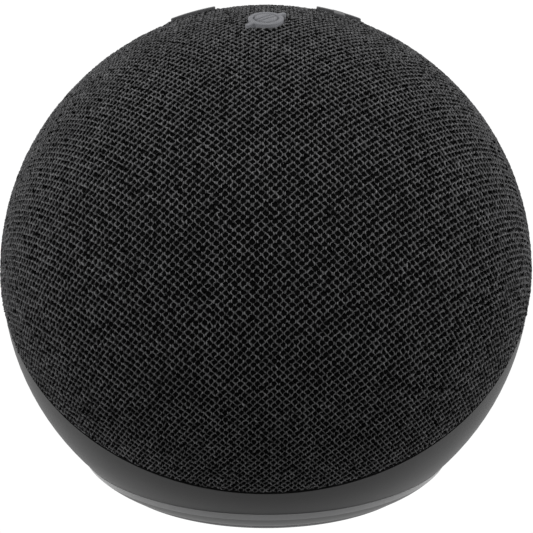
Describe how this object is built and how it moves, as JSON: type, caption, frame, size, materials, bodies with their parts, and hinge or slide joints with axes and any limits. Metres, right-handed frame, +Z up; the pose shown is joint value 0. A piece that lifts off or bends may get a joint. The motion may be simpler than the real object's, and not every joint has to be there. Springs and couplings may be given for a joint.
{
  "type": "smart home hub",
  "caption": "Ball-shaped tabletop smart home hub: knit-covered speaker dome with top keys on a slanted plastic base, light ring and rubber foot.",
  "frame": {"origin": "middle of the foot, on the surface that the hub stands on", "axes": "+Z up; the front, where the speaker fires and the knit reaches lowest, faces -Y; sockets face +Y; +X is to the right as seen from the front"},
  "size_m": [0.0992, 0.0996, 0.089],
  "materials": {
    "charcoal_knit": "open warp knit of dark textured yarn",
    "dome_plastic": "matte black moulding",
    "housing_plastic": "fine satin texture",
    "ring_diffuser": "smoked milky diffuser, polished",
    "clear_acrylic": "clear polished acrylic",
    "foot_rubber": "matte rubber",
    "screw_steel": "black-nickel plated steel",
    "circuit_board": "solder mask over glass laminate",
    "lamp_white": "lamp package, unlit",
    "switch_plastic": "glass-filled nylon",
    "sensor_metal": "tinned sheet",
    "soft_seal": "soft closed-cell foam",
    "pressed_steel": "zinc plated, dark",
    "ferrite": "ground ceramic magnet",
    "copper_winding": "enamelled wire",
    "cone_paper": "pressed pulp",
    "roll_rubber": "satin rubber roll",
    "spider_cloth": "resin-stiffened cloth",
    "chip_epoxy": "moulded epoxy",
    "sink_aluminium": "extruded, as machined",
    "ribbon_film": "flat film cable",
    "connector_plastic": "natural nylon",
    "wire_jacket": "silicone wire jacket",
    "mute_key_plastic": "satin grey key",
    "key_plastic": "satin charcoal key"
  },
  "bodies": {
    "hub_body": {"audio_jack": "switch_plastic", "baffle_screws": "screw_steel", "base_plate": "dome_plastic", "base_screws": "screw_steel", "board_chips": "chip_epoxy", "board_connectors": "connector_plastic", "dc_jack": "switch_plastic", "dome_screws": "screw_steel", "enclosure_screws": "screw_steel", "grille_dome": "dome_plastic", "heat_sink": "sink_aluminium", "key_board": "circuit_board", "key_board_screws": "screw_steel", "key_ribbon": "ribbon_film", "knit_cover": "charcoal_knit", "led_board": "circuit_board", "led_board_screws": "screw_steel", "led_ribbon": "ribbon_film", "leds": "lamp_white", "light_guide": "clear_acrylic", "light_ring": "ring_diffuser", "lower_housing": "housing_plastic", "main_board": "circuit_board", "main_board_screws": "screw_steel", "microphone_seals": "soft_seal", "microphones": "sensor_metal", "port_board": "circuit_board", "port_board_screws": "screw_steel", "port_ribbon": "ribbon_film", "processor": "chip_epoxy", "processor_shield": "sensor_metal", "rubber_foot": "foot_rubber", "speaker_baffle": "dome_plastic", "speaker_basket": "pressed_steel", "speaker_enclosure": "dome_plastic", "speaker_gasket": "soft_seal", "speaker_lead": "wire_jacket", "speaker_magnet": "ferrite", "speaker_screws": "screw_steel", "speaker_spider": "spider_cloth", "speaker_surround": "roll_rubber", "speaker_terminal": "circuit_board", "speaker_top_plate": "pressed_steel", "speaker_yoke": "pressed_steel", "tact_switches": "switch_plastic", "thermal_pad": "soft_seal", "wifi_antennas": "sensor_metal"},
    "mute_button": {"mute_key": "mute_key_plastic", "mute_plunger": "switch_plastic"},
    "volume_down_button": {"volume_down_key": "key_plastic", "volume_down_plunger": "switch_plastic"},
    "volume_up_button": {"volume_up_key": "key_plastic", "volume_up_plunger": "switch_plastic"},
    "action_button": {"action_key": "key_plastic", "action_plunger": "switch_plastic"},
    "speaker_diaphragm": {"speaker_cone": "cone_paper", "dust_cap": "cone_paper", "voice_coil": "copper_winding"}
  },
  "joints": [
    {"name": "mute_press", "type": "slide", "parent": "hub_body", "child": "mute_button", "axis": [0, 0, -1], "range_m": [0, 0.00035], "stiffness_N_per_m": 2500},
    {"name": "volume_down_press", "type": "slide", "parent": "hub_body", "child": "volume_down_button", "axis": [0, 0, -1], "range_m": [0, 0.00035], "stiffness_N_per_m": 2500},
    {"name": "volume_up_press", "type": "slide", "parent": "hub_body", "child": "volume_up_button", "axis": [0, 0, -1], "range_m": [0, 0.00035], "stiffness_N_per_m": 2500},
    {"name": "action_press", "type": "slide", "parent": "hub_body", "child": "action_button", "axis": [0, 0, -1], "range_m": [0, 0.00035], "stiffness_N_per_m": 2500},
    {"name": "cone_stroke", "type": "slide", "parent": "hub_body", "child": "speaker_diaphragm", "axis": [0, -1, 0], "range_m": [-0.0015, 0.0015], "stiffness_N_per_m": 1200, "deforming": ["speaker_surround", "speaker_spider"]}
  ]
}
